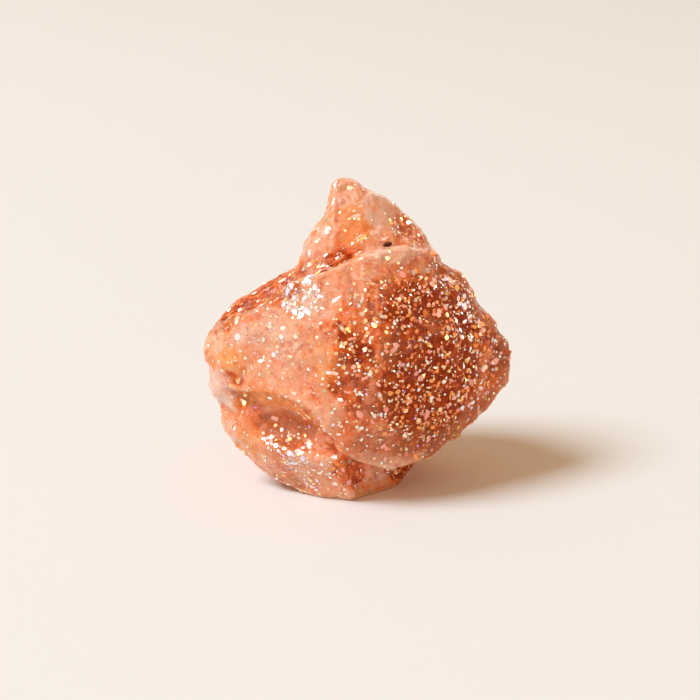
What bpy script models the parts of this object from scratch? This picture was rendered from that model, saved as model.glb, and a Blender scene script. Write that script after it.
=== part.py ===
"""Rough sunstone: one broken lump of feldspar, standing on a small flat spot.

The lump is built the way it broke. Each mass of it (body, waist, foot, peak, knob, flank) is the
hull of its own corners, and the masses are joined into one. Shell-shaped flakes are scooped out
of the joined lump, its skin is made even, softened and roughened, and the flat spot is ground off.

Corners and scoops are in millimetres, seen from the front: X to the right, Y away from the
viewer and Z up. The finished stone stands on Z = 0 with the middle of its box over the origin.
"""

import math

import bmesh
import bpy
from mathutils import Euler, Vector

MM = 0.001

# Skin: the even grid it is remade on, how far it is softened, and its triangles
SKIN_CELL = 0.35
SOFTENING_ROUNDS = 3
SOFTENING = 0.5
MOST_TRIANGLES = 9400

# Relief on the skin: size of its lumps and their full height, broad ones first
RELIEF = {"broad lumps": (5.5, 0.9), "small lumps": (1.9, 0.34)}
RELIEF_OCTAVES = 1

# Scoops are cut with a ball this finely divided, and the flat spot with a block this large
SCOOP_DIVISIONS = 4
TABLE_SIZE = 60.0

# Finish: translucent orange feldspar with a glassy break
COLOUR = (0.60, 0.25, 0.11, 1.0)
ROUGHNESS = 0.35
REFRACTION = 1.54

BODY = [
    # left end
    (-14.9, -3.0, 14.0),
    (-14.1, -3.5, 12.6),
    (-13.8, -2.0, 15.6),
    (-12.0, -0.5, 17.8),
    (-9.2, 0.5, 19.4),
    (-6.4, 0.5, 20.7),
    # ridge over the pale face
    (-11.1, -5.8, 17.8),
    (-8.8, -6.8, 19.2),
    (-6.1, -6.9, 21.5),
    (-2.6, -6.6, 22.8),
    # shelf under the peak
    (0.8, -5.4, 23.9),
    (4.1, -3.7, 24.3),
    (7.6, -0.8, 22.8),
    # right rim
    (9.7, 0.0, 21.1),
    (11.3, 0.0, 18.7),
    (13.1, 0.0, 16.3),
    (15.2, -0.5, 14.1),
    (15.4, -0.5, 11.8),
    (15.2, -1.0, 10.1),
    (13.3, -1.5, 7.7),
    (10.8, -2.5, 6.0),
    (8.8, -3.5, 5.0),
    # lower lip
    (6.7, -5.0, 3.4),
    (3.2, -7.2, 3.5),
    (0.8, -8.8, 4.6),
    (-1.4, -9.5, 5.9),
    (-2.6, -9.8, 8.0),
    (-3.9, -9.8, 10.0),
    # ledge over the hollow
    (-5.8, -8.9, 11.3),
    (-8.7, -7.4, 11.4),
    (-12.5, -4.9, 10.9),
    # front swell
    (-4.6, -8.0, 19.2),
    (0.8, -8.0, 20.6),
    (-4.4, -9.6, 15.0),
    (-0.8, -10.2, 16.0),
    (1.8, -9.8, 15.5),
    (2.2, -10.0, 11.0),
    (5.5, -7.6, 17.0),
    (6.2, -7.6, 9.5),
    (-0.8, -10.4, 11.5),
    # back
    (-10.0, 6.6, 16.4),
    (-3.0, 9.6, 18.6),
    (6.4, 8.2, 17.6),
    (11.4, 5.0, 13.0),
    (7.6, 8.6, 7.0),
    (-3.0, 10.4, 9.0),
    (-11.6, 5.4, 9.6),
]

PEAK = [
    # tip
    (-2.1, 0.6, 29.8),
    (-0.2, 0.6, 30.0),
    (-0.6, 2.6, 29.8),
    # right slope
    (2.7, 2.0, 27.9),
    (5.1, 2.0, 26.0),
    (6.9, 2.0, 24.3),
    (8.5, 1.5, 21.6),
    # left slope
    (-2.7, 0.5, 28.0),
    (-4.8, 0.3, 24.5),
    (-6.0, -0.1, 22.0),
    # fold between the left facet and the front one
    (-1.9, -1.2, 26.4),
    (-2.4, -3.6, 22.0),
    (-5.6, -2.8, 20.0),
    (1.6, -3.6, 22.4),
    (4.2, -0.8, 25.0),
    (6.6, -1.6, 22.0),
    # back
    (1.4, 6.0, 25.4),
    (-3.4, 8.6, 18.6),
    (5.4, 7.6, 19.0),
]

WAIST = [
    # left side, under the knob
    (-14.0, -0.6, 12.4),
    (-14.0, -0.4, 9.2),
    (-13.4, -1.6, 7.6),
    (-12.8, -3.8, 10.4),
    (-12.6, 3.0, 7.0),
    # floor of the hollow
    (-10.6, -4.6, 6.0),
    (-9.4, -4.6, 11.0),
    (-6.4, -5.8, 10.8),
    (-6.0, -6.8, 5.6),
    (-3.2, -7.0, 9.4),
    (-1.6, -7.8, 6.0),
    # right side and back
    (2.4, -5.2, 4.6),
    (6.6, -2.4, 4.4),
    (8.0, 4.0, 8.0),
    (-11.4, 5.0, 8.0),
    (0.0, 8.6, 6.0),
]

FOOT = [
    # left side
    (-13.6, -2.0, 8.1),
    (-12.9, -2.5, 5.9),
    (-11.7, -3.0, 3.8),
    (-10.2, -3.4, 2.3),
    (-8.8, -3.8, 1.4),
    # sole
    (-5.8, -4.4, 0.1),
    (-3.6, -6.0, -0.3),
    (-0.4, -6.8, -0.3),
    (3.2, -3.6, -0.3),
    (4.4, -1.2, -0.3),
    (5.0, 5.0, -0.3),
    (-4.0, 6.5, -0.3),
    # ridge under the hollow
    (-10.9, -4.6, 5.4),
    (-7.9, -6.5, 5.2),
    (-6.2, -7.5, 5.0),
    (-3.7, -8.2, 4.4),
    (-1.5, -8.6, 5.0),
    # right side and back
    (2.6, -4.2, 4.4),
    (6.4, -0.6, 3.0),
    (-10.9, 4.6, 5.4),
    (-5.0, 8.0, 3.6),
    (6.6, 6.4, 5.0),
]

KNOB = [
    (-14.4, -1.6, 11.8),
    (-14.4, -1.4, 9.9),
    (-13.8, -2.0, 8.7),
    (-14.0, -2.8, 11.8),
    (-13.5, -3.4, 10.1),
    (-11.8, -4.6, 10.8),
    (-12.4, 0.5, 11.6),
    (-12.4, 0.5, 9.0),
]

FLANK = [
    # inside the peak and the body
    (-1.2, 1.6, 28.6),
    (2.8, 2.2, 27.0),
    (-4.4, 1.6, 22.6),
    (-9.6, 1.4, 17.6),
    (8.0, 1.6, 21.4),
    (11.4, 1.2, 17.4),
    (12.4, 1.0, 9.0),
    (-12.6, 1.0, 8.4),
    # down the back of the peak
    (0.2, 3.6, 28.2),
    (3.6, 4.4, 25.4),
    (-2.8, 3.6, 23.6),
    (-6.8, 6.6, 17.4),
    (-2.4, 9.8, 17.0),
    (5.2, 9.2, 16.6),
    (9.8, 6.4, 14.8),
    # down the back of the body to the sole
    (7.2, 8.8, 9.0),
    (-4.4, 10.4, 9.4),
    (-10.8, 6.4, 11.6),
    (11.0, 4.0, 8.4),
    (8.4, 0.4, 4.4),
    (-10.4, 4.2, 5.0),
    (5.0, 6.0, 0.6),
    (-3.8, 7.6, 0.6),
]

# Scoops: middle, half sizes, and turns about X, Y and Z in degrees
SCOOPS = {
    "hollow": ((-7.6, -12.9, 8.2), (7.0, 8.0, 3.2), (0, 16, 26)),
    "under the lip": ((5.4, -6.6, 1.4), (4.4, 2.6, 2.4), (0, 0, 34)),
    "valley": ((-3.8, -3.9, 24.3), (7.0, 1.5, 2.7), (0, -20, 4)),
    "slope": ((-10.9, -2.9, 22.1), (7.4, 3.7, 4.2), (0, -31, 4)),
    "left of the peak": ((-8.3, -0.5, 27.3), (5.8, 6.0, 3.0), (0, 0, 0)),
    "notch behind the slope": ((-9.3, 5.0, 23.4), (4.6, 9.0, 4.8), (-17, 0, 0)),
    "right of the swell": ((6.4, -13.2, 19.6), (5.6, 5.6, 5.4), (0, 0, 30)),
    "upper rim notch": ((9.6, -1.2, 22.6), (1.3, 3.0, 1.2), (0, 0, 0)),
    "middle rim notch": ((12.5, -0.6, 18.4), (1.2, 3.0, 1.0), (0, 0, 0)),
    "lower rim notch": ((14.8, -0.4, 15.5), (1.2, 3.0, 1.0), (0, 0, 0)),
    "notch in the right end": ((16.2, -0.8, 10.8), (1.2, 3.0, 0.8), (0, 0, 0)),
    "notch under the rim": ((9.6, -4.0, 3.8), (1.6, 2.0, 1.5), (0, 0, 0)),
    "behind the peak": ((-6.4, 11.8, 25.2), (6.0, 6.4, 8.6), (-14, 16, 0)),
    "back shell": ((6.8, 15.8, 12.6), (8.0, 7.8, 6.0), (10, 0, -24)),
    "back heel": ((-8.6, 13.2, 3.8), (8.4, 6.4, 5.0), (0, -16, 24)),
    "right flake": ((17.6, 8.0, 13.6), (5.6, 6.4, 7.0), (0, 10, 0)),
    "right heel": ((13.6, 8.6, 1.6), (7.0, 5.4, 5.4), (0, 16, 0)),
}


def clear_scene():
    """Remove whatever the scene holds."""
    for obj in list(bpy.data.objects):
        bpy.data.objects.remove(obj)


def new_collection(name):
    """A collection of the scene, by name."""
    collection = bpy.data.collections.new(name)
    bpy.context.scene.collection.children.link(collection)
    return collection


def object_of(bm, name, collection):
    """The bmesh as an object of the collection."""
    mesh = bpy.data.meshes.new(name)
    bm.to_mesh(mesh)
    bm.free()
    obj = bpy.data.objects.new(name, mesh)
    collection.objects.link(obj)
    return obj


def hull(name, corners, collection):
    """A solid mass: the hull of its corners."""
    bm = bmesh.new()
    for corner in corners:
        bm.verts.new(Vector(corner) * MM)
    made = bmesh.ops.convex_hull(bm, input=bm.verts)
    inner = [v for v in made["geom_interior"] if isinstance(v, bmesh.types.BMVert)]
    bmesh.ops.delete(bm, geom=inner, context="VERTS")
    bmesh.ops.recalc_face_normals(bm, faces=bm.faces)
    return object_of(bm, name, collection)


def scoop(name, shape, collection):
    """A rounded cutter, as a blow takes a shell-shaped flake off a glassy stone."""
    middle, half_sizes, turns = shape
    bm = bmesh.new()
    bmesh.ops.create_icosphere(bm, subdivisions=SCOOP_DIVISIONS, radius=1.0)
    bmesh.ops.scale(bm, vec=Vector(half_sizes) * MM, verts=bm.verts)
    turn = Euler([math.radians(t) for t in turns]).to_matrix()
    bmesh.ops.rotate(bm, matrix=turn, verts=bm.verts)
    bmesh.ops.translate(bm, vec=Vector(middle) * MM, verts=bm.verts)
    return object_of(bm, name, collection)


def table(collection):
    """The block that grinds the flat spot: its top lies at Z = 0."""
    bm = bmesh.new()
    bmesh.ops.create_cube(bm, size=TABLE_SIZE * MM)
    bmesh.ops.translate(bm, vec=(0, 0, -TABLE_SIZE * MM / 2), verts=bm.verts)
    return object_of(bm, "table", collection)


def apply_boolean(target, operation, tool):
    """Add the tool to the target, or take it away, with a live modifier."""
    tool.hide_render = True
    tool.display_type = "WIRE"
    modifier = target.modifiers.new(operation.lower() + " " + tool.name, "BOOLEAN")
    modifier.operation = operation
    modifier.object = tool


def remake_skin(stone):
    """Cover the joined masses with one even skin, and take the edge off its creases."""
    remesh = stone.modifiers.new("even skin", "REMESH")
    remesh.mode = "VOXEL"
    remesh.voxel_size = SKIN_CELL * MM
    remesh.use_smooth_shade = True
    smooth = stone.modifiers.new("softening", "SMOOTH")
    smooth.factor = SOFTENING
    smooth.iterations = SOFTENING_ROUNDS


def roughen(stone):
    """Raise the lumps of the skin."""
    for name, (size, height) in RELIEF.items():
        texture = bpy.data.textures.new(name, "CLOUDS")
        texture.noise_scale = size * MM
        texture.noise_depth = RELIEF_OCTAVES
        displace = stone.modifiers.new(name, "DISPLACE")
        displace.texture = texture
        displace.texture_coords = "LOCAL"
        displace.strength = height * MM
        displace.mid_level = 0.5


def evaluated_mesh(obj):
    """A new mesh of the object with its modifiers applied."""
    graph = bpy.context.evaluated_depsgraph_get()
    return bpy.data.meshes.new_from_object(obj.evaluated_get(graph))


def thin_out(stone):
    """Leave only the triangles that the form needs."""
    mesh = evaluated_mesh(stone)
    mesh.calc_loop_triangles()
    decimate = stone.modifiers.new("fewer triangles", "DECIMATE")
    decimate.ratio = MOST_TRIANGLES / len(mesh.loop_triangles)
    decimate.use_collapse_triangulate = True
    bpy.data.meshes.remove(mesh)


def finish(stone):
    """Give the stone its orange, translucent look."""
    material = bpy.data.materials.new("orange feldspar")
    material.use_nodes = True
    shader = material.node_tree.nodes["Principled BSDF"]
    shader.inputs["Base Color"].default_value = COLOUR
    shader.inputs["Roughness"].default_value = ROUGHNESS
    shader.inputs["Metallic"].default_value = 0.0
    shader.inputs["IOR"].default_value = REFRACTION
    stone.data.materials.append(material)


def seat(stone, tools):
    """Hang the stone and its tools on one empty, and move that so the box is centred."""
    holder = bpy.data.objects.new("seat", None)
    stone.users_collection[0].objects.link(holder)
    for obj in [stone, *tools.objects]:
        obj.parent = holder
    mesh = evaluated_mesh(stone)
    for axis in (0, 1):
        places = [vertex.co[axis] for vertex in mesh.vertices]
        holder.location[axis] = -(min(places) + max(places)) / 2
    bpy.data.meshes.remove(mesh)


def main():
    clear_scene()
    stone_collection = new_collection("sunstone")
    tools = new_collection("tools")
    stone = hull("sunstone", BODY, stone_collection)
    masses = {"waist": WAIST, "foot": FOOT, "peak": PEAK, "knob": KNOB, "flank": FLANK}
    for name, corners in masses.items():
        apply_boolean(stone, "UNION", hull(name, corners, tools))
    for name, shape in SCOOPS.items():
        apply_boolean(stone, "DIFFERENCE", scoop(name, shape, tools))
    remake_skin(stone)
    roughen(stone)
    thin_out(stone)
    apply_boolean(stone, "DIFFERENCE", table(tools))
    finish(stone)
    seat(stone, tools)


main()
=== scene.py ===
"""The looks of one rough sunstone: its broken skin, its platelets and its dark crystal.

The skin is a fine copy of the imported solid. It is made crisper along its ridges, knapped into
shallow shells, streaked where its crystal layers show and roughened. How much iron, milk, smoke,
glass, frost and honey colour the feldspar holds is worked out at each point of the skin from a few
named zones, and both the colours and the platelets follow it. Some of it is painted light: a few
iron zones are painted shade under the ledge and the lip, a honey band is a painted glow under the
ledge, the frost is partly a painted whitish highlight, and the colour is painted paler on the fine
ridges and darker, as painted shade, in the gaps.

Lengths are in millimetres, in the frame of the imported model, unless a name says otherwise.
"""

import logging
import math
from collections.abc import Callable, Sequence
from dataclasses import dataclass, field
from enum import StrEnum

import bmesh
import bpy
import numpy as np
from mathutils import Matrix, Vector, noise


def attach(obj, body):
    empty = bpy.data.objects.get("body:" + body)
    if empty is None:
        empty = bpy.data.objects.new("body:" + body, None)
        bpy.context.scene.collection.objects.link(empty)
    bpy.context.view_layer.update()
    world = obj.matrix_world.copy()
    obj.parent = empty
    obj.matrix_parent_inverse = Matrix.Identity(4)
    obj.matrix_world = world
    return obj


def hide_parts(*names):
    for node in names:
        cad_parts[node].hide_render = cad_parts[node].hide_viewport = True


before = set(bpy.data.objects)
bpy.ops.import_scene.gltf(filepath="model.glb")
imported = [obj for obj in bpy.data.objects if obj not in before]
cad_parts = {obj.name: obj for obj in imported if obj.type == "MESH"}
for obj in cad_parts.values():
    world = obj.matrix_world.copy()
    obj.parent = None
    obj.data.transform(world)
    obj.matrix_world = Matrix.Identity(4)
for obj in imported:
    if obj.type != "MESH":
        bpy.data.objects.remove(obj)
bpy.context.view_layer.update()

LOG = logging.getLogger("sunstone")

MM = 0.001
NODE = "sunstone"
BODY = "root"
SEED = 11
WELD = 0.001
ZONE_EDGE = 2.0
CUSP = 1.6
MIDDLE = 0.5

Point = tuple[float, float, float]
Colour = tuple[float, float, float]
Socket = bpy.types.NodeSocket
Inputs = dict[str | int, object]


class Makeup(StrEnum):
    """What varies over the stone. Each is a share from 0 to 1, kept as an attribute of the skin.

    SHELL is where it broke smooth. CREST and CAVITY are read from the finished shape, and the colour
    is painted paler on crests, a painted highlight, and darker in cavities, painted shade. Some
    iron zones are painted shade, one honey band is a painted glow, and frost is partly a painted
    highlight.
    """

    IRON_AND_SHADE = "iron"
    MILK = "milk"
    SMOKE = "smoke"
    GLASS = "glass"
    FROST_AND_HIGHLIGHT = "frost"
    GRAIN = "grain"
    HONEY_AND_GLOW = "honey"
    SHELL = "shell"
    CREST = "crest"
    CAVITY = "cavity"


@dataclass(frozen=True)
class Zone:
    """A soft-edged lump of space in which the stone's make-up changes."""

    middle: Point
    reach: Point
    strength: float = 1.0

    def share(self, points: np.ndarray) -> np.ndarray:
        """How strongly the zone reaches each point: one number a row, 0 outside the zone."""
        offsets = (points - np.array(self.middle)) / np.array(self.reach)
        return eased(1.0 - np.sum(offsets**2, axis=1), self.strength)


@dataclass(frozen=True)
class Band:
    """A soft-edged band along a line in which the stone's make-up changes."""

    line: tuple[Point, ...]
    reach: float
    strength: float = 1.0

    def share(self, points: np.ndarray) -> np.ndarray:
        """How strongly the band reaches each point, as for a zone."""
        return eased(1.0 - (distance(points, self.line) / self.reach) ** 2, self.strength)


@dataclass(frozen=True)
class Crease:
    """A line along which the skin is raised to a crisp crest, or opened by a crack."""

    line: tuple[Point, ...]
    width: float
    height: float

    def lift(self, points: np.ndarray) -> np.ndarray:
        """How far the crease moves each point outwards, in a cusp that is sharp on the line."""
        near = np.clip(1.0 - distance(points, self.line) / self.width, 0.0, 1.0)
        return self.height * near**CUSP


def eased(depth: np.ndarray, full: float) -> np.ndarray:
    """The full strength well inside a zone, nothing outside it, and a soft step between."""
    inside = np.clip(ZONE_EDGE * depth, 0.0, 1.0)
    return full * inside**2 * (3.0 - 2.0 * inside)


def distance(points: np.ndarray, line: Sequence[Point]) -> np.ndarray:
    """The distance from each point to a bent line.

    Args:
        points: the points, one a row.
        line: the line's corners.

    Returns:
        One distance a point.
    """
    nearest = np.full(len(points), np.inf)
    corners = [np.array(corner) for corner in line]
    for start, end in zip(corners, corners[1:]):
        along = end - start
        share = np.clip((points - start) @ along / (along @ along), 0.0, 1.0)
        apart = points - start - share[:, None] * along
        nearest = np.minimum(nearest, np.linalg.norm(apart, axis=1))
    return nearest


@dataclass(frozen=True)
class Relief:
    """One scale of unevenness: how wide its forms are and how high."""

    size: float
    height: float


@dataclass(frozen=True)
class Clouds:
    """Cloudy noise: its size, finer layers and swirl, and the values of it that become 0 and 1.

    The sway is how far it moves what it is laid on. The turn is in degrees.
    """

    size: float
    layers: float = 3.0
    low: float = 0.3
    high: float = 0.7
    rough: float = 0.6
    bend: float = 0.0
    sway: float = 0.0
    turn: Point = (0.0, 0.0, 0.0)
    stretch: Point = (1.0, 1.0, 1.0)


@dataclass(frozen=True)
class Marks:
    """Small marks: how far apart they are, how wide, how strong, and how they are drawn out."""

    apart: float
    width: float
    share: float
    turn: Point = (0.0, 0.0, 0.0)
    stretch: Point = (1.0, 1.0, 1.0)


@dataclass(frozen=True)
class Bumps:
    """Fine unevenness that only the light shows: how deep a full step is and how much shows."""

    depth: float
    strength: float


RIM: tuple[Point, ...] = (
    (7.9, -1.4, 21.9), (9.1, -1.2, 20.9), (10.9, -1.3, 18.6), (12.6, -1.0, 16.3),
    (14.5, -0.8, 13.8), (14.6, -0.8, 12.5), (14.4, -1.3, 10.3), (13.0, -2.0, 8.5),
    (9.9, -3.8, 6.7), (7.4, -5.0, 4.7),
)
SLOPE_EDGE: tuple[Point, ...] = (
    (-13.8, -2.6, 16.0), (-11.4, -4.8, 18.0), (-9.2, -6.0, 19.1), (-7.9, -6.4, 20.1), (-6.2, -6.4, 21.6),
)
RECESS: tuple[Point, ...] = (
    (-11.4, -4.6, 9.9), (-9.8, -6.1, 10.2), (-8.4, -7.1, 10.3), (-6.6, -8.0, 10.0), (-5.1, -9.3, 9.6),
)
RECESS_END: tuple[Point, ...] = ((-5.1, -9.3, 9.6), (-3.8, -9.2, 8.2), (-3.0, -8.6, 6.9), (-1.9, -8.0, 5.6))
GLINTING_RIM: tuple[Point, ...] = (
    (8.6, -3.0, 20.4), (10.6, -2.8, 17.4), (11.8, -2.9, 14.2), (12.9, -2.4, 11.8), (10.8, -4.2, 9.8),
)
PEAK_SLOPE: tuple[Point, ...] = ((2.8, 0.0, 27.3), (4.8, 0.3, 25.8), (6.6, 0.2, 23.9), (7.9, -0.6, 22.3))
LIP: tuple[Point, ...] = ((-1.2, -8.4, 5.8), (0.8, -8.8, 5.2), (3.2, -7.4, 4.2), (6.0, -5.8, 4.4))

ZONES: dict[Makeup, tuple[Zone | Band, ...]] = {}
ZONES[Makeup.IRON_AND_SHADE] = (
    # right face
    Zone((7.4, -8.0, 14.8), (7.2, 9.5, 9.6), 0.66),
    Zone((10.8, -5.0, 12.5), (5.2, 6.0, 6.6), 0.32),
    Zone((4.4, -7.0, 20.8), (3.8, 6.0, 3.6), 0.32),
    Zone((5.6, -9.0, 11.2), (4.8, 7.0, 4.6), 0.20),
    Zone((5.2, -9.0, 15.6), (3.0, 6.0, 2.8), 0.12),
    Zone((3.6, -8.4, 8.4), (7.4, 6.0, 4.4), 0.40),
    Zone((6.4, -6.0, 6.4), (4.6, 4.0, 2.6), 0.26),
    Zone((8.8, -3.6, 19.2), (2.8, 4.0, 3.2), 0.30),
    Band(RIM, 2.6, 0.34),
    # front swell and the orange beside it
    Zone((-0.8, -10.0, 14.2), (2.4, 5.0, 4.2), 0.62),
    Zone((0.0, -9.0, 18.8), (2.0, 4.0, 4.2), 0.42),
    Zone((-2.4, -9.0, 18.4), (1.2, 3.0, 1.0), 0.30),
    Zone((-3.6, -9.6, 12.8), (2.2, 4.0, 2.0), 0.16),
    Zone((-8.0, -7.0, 14.9), (1.7, 4.0, 1.7), 0.12),
    Zone((-3.4, -8.4, 17.4), (2.6, 3.0, 2.2), 0.12),
    # peak
    Zone((-0.4, -2.0, 25.2), (1.7, 4.0, 3.1), 0.42),
    Zone((4.0, -1.4, 25.0), (2.3, 4.0, 1.6), 0.30),
    Band(PEAK_SLOPE, 1.5, 0.34),
    # slope, valley and left tip
    Zone((-9.8, -0.8, 19.0), (6.8, 4.6, 3.8), 0.64),
    Band(SLOPE_EDGE, 1.3, 0.60),
    Zone((-3.2, -2.8, 22.1), (4.8, 3.2, 1.8), 0.62),
    Zone((-12.0, -5.0, 13.0), (1.8, 3.4, 1.7), 0.26),
    Zone((-12.5, -5.0, 11.8), (1.0, 2.6, 0.8), 0.18),
    # hollow and foot
    # painted shade: a darker iron colour along the recess under the ledge
    Band(RECESS, 1.5, 0.44),
    Band(RECESS_END, 1.2, 0.20),
    Zone((-11.4, -5.2, 11.6), (2.6, 3.0, 1.2), 0.20),
    Zone((-10.8, -4.8, 7.6), (1.7, 3.0, 2.7), 0.24),
    Zone((-7.0, -6.4, 7.0), (4.4, 3.4, 2.4), 0.34),
    Zone((-7.0, -5.6, 3.0), (6.4, 3.4, 3.4), 0.26),
    Zone((-0.6, -7.2, 3.2), (1.9, 3.4, 2.5), 0.62),
    # painted shade: full dark iron colour under the lip right of the foot, where shade falls
    Zone((5.0, -2.6, 2.0), (3.6, 3.6, 2.2), 1.00),
    # back
    Zone((1.0, 10.0, 14.0), (15.0, 9.0, 13.0), 0.30),
    Zone((4.0, 10.0, 12.0), (8.0, 7.0, 7.0), 0.36),
    Zone((-9.0, 8.0, 8.0), (6.0, 6.0, 6.0), 0.30),
    Zone((2.0, 6.0, 24.0), (4.0, 5.0, 6.0), 0.24),
    Zone((13.0, 4.0, 13.0), (5.0, 6.0, 8.0), 0.40),
)
ZONES[Makeup.MILK] = (
    # fold beside the right face, shelf and peak
    Zone((0.0, -8.0, 21.2), (1.1, 4.0, 1.6), 0.25),
    Zone((3.6, -4.2, 24.1), (4.3, 2.6, 1.0), 0.50),
    Zone((-4.4, -1.4, 24.2), (2.0, 2.6, 3.4), 0.50),
    Zone((2.2, -0.4, 27.2), (2.4, 2.6, 1.9), 0.75),
    Zone((-1.2, -0.4, 29.0), (1.5, 2.0, 1.6), 0.35),
    # pale face and left tip
    Zone((-8.6, -7.2, 17.0), (4.8, 4.0, 2.4), 0.44),
    Zone((-7.0, -8.4, 13.4), (3.0, 3.0, 1.8), 0.25),
    Zone((-4.4, -8.0, 19.8), (2.3, 3.4, 1.6), 0.30),
    Zone((-13.7, -3.2, 14.8), (1.6, 2.6, 1.9), 0.50),
    # lip and foot
    Band(LIP, 0.8, 0.40),
    Zone((-2.6, -10.0, 9.6), (1.2, 2.6, 2.5), 0.20),
    Zone((-5.0, -7.0, 3.4), (3.0, 2.4, 1.2), 0.36),
    Zone((-4.2, -6.8, 2.2), (2.0, 2.6, 1.4), 0.20),
    Zone((-9.3, -4.4, 2.8), (1.9, 2.6, 1.8), 0.35),
    # back
    Zone((-6.0, 8.0, 15.0), (5.0, 4.0, 4.0), 0.7),
    Zone((8.0, 7.0, 6.0), (5.0, 4.0, 3.4), 0.6),
    Zone((0.0, 8.0, 21.0), (4.0, 4.0, 2.4), 0.6),
)
ZONES[Makeup.SMOKE] = (
    # right rim
    Band(RIM, 1.4, 0.70),
    Band(PEAK_SLOPE, 1.0, 0.45),
    # under the right face
    Zone((7.0, -6.4, 6.0), (5.0, 3.6, 2.4), 0.50),
    Zone((2.0, -8.6, 6.2), (3.8, 3.4, 2.4), 0.50),
    # patches in the right face
    Zone((2.6, -9.2, 15.8), (1.2, 3.0, 1.5), 0.50),
    Zone((1.9, -9.8, 10.8), (1.9, 3.0, 1.4), 0.50),
    Zone((7.4, -6.0, 17.4), (1.0, 3.0, 0.9), 0.45),
    # hollow, peak and slope
    Zone((-6.8, -6.2, 7.4), (3.8, 3.4, 2.1), 0.60),
    Zone((-6.6, -5.8, 1.4), (3.2, 3.0, 1.2), 0.50),
    Zone((-7.0, -6.0, 3.2), (5.6, 3.4, 3.0), 0.25),
    Zone((-4.2, -1.6, 23.0), (1.8, 2.6, 1.6), 0.30),
    Band(SLOPE_EDGE, 0.7, 0.45),
    # back
    Zone((5.0, 8.0, 10.0), (5.0, 3.4, 3.0), 0.5),
    Zone((-9.0, 6.0, 15.0), (3.0, 3.4, 3.0), 0.5),
)
ZONES[Makeup.GLASS] = (
    Zone((-13.3, -3.4, 10.2), (2.2, 2.8, 2.8), 0.65),
    Zone((-12.2, -3.6, 5.8), (0.8, 1.6, 1.4), 0.35),
    Zone((2.5, -4.8, 2.1), (1.6, 1.8, 1.0), 0.3),
    Zone((-2.0, 9.4, 6.0), (4.0, 3.4, 3.0), 0.6),
)
# partly painted highlight: frost whitens the colour where clusters of highlight and glints show
ZONES[Makeup.FROST_AND_HIGHLIGHT] = (
    Zone((-5.2, -7.4, 20.7), (2.4, 2.4, 2.2), 1.0),
    Zone((-6.0, -7.4, 4.1), (2.5, 1.8, 0.9), 1.0),
    Zone((-9.4, -6.8, 16.0), (4.0, 3.0, 2.6), 0.10),
    Zone((-4.6, -6.8, 2.4), (3.4, 3.0, 1.8), 0.22),
    Zone((8.4, -2.8, 20.6), (1.6, 2.2, 1.4), 0.25),
    Band(GLINTING_RIM, 1.7, 0.30),
    Zone((-4.0, 9.0, 12.0), (3.0, 2.6, 3.0), 0.7),
)
ZONES[Makeup.GRAIN] = (
    Zone((-9.6, -2.6, 18.8), (6.6, 3.4, 3.0), 1.0),
    Zone((-3.2, -3.6, 22.6), (4.6, 2.2, 2.3), 1.0),
    Zone((-1.0, -1.4, 26.0), (2.6, 2.4, 3.0), 0.3),
    Zone((6.0, 8.0, 16.0), (5.0, 3.0, 4.0), 0.6),
)
ZONES[Makeup.HONEY_AND_GLOW] = (
    Zone((-12.6, -4.6, 13.8), (2.0, 3.0, 1.5), 0.75),
    Zone((-0.4, -2.0, 26.0), (1.9, 4.0, 2.8), 0.55),
    Zone((4.0, -1.6, 25.0), (2.2, 3.0, 1.4), 0.40),
    Zone((-3.2, -9.6, 14.6), (1.5, 3.0, 2.4), 0.55),
    Zone((-10.4, -4.4, 4.8), (1.7, 3.0, 2.2), 0.45),
    Zone((-5.0, -6.6, 1.6), (3.6, 3.0, 1.4), 0.30),
    # painted glow: honey orange along the recess under the ledge, where light comes through it
    Band(RECESS, 1.4, 0.55),
    Zone((-2.0, 8.0, 18.0), (5.0, 4.0, 3.0), 0.5),
    Zone((9.0, 5.0, 9.0), (4.0, 4.0, 3.0), 0.4),
)
ZONES[Makeup.SHELL] = (
    Zone((-7.6, -5.6, 7.8), (5.0, 4.0, 2.7), 1.0),
    Zone((0.0, -1.0, 26.4), (4.8, 4.0, 4.4), 0.6),
    Zone((-0.2, -7.0, 3.0), (1.8, 3.0, 2.4), 0.7),
    Zone((-9.8, -0.8, 19.0), (6.8, 5.4, 3.8), 0.6),
    Zone((7.0, -6.0, 5.6), (5.0, 4.0, 2.4), 0.5),
    Zone((2.0, 9.0, 10.0), (5.0, 4.0, 4.0), 0.6),
    Band(RIM, 1.6, 0.6),
)

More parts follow.
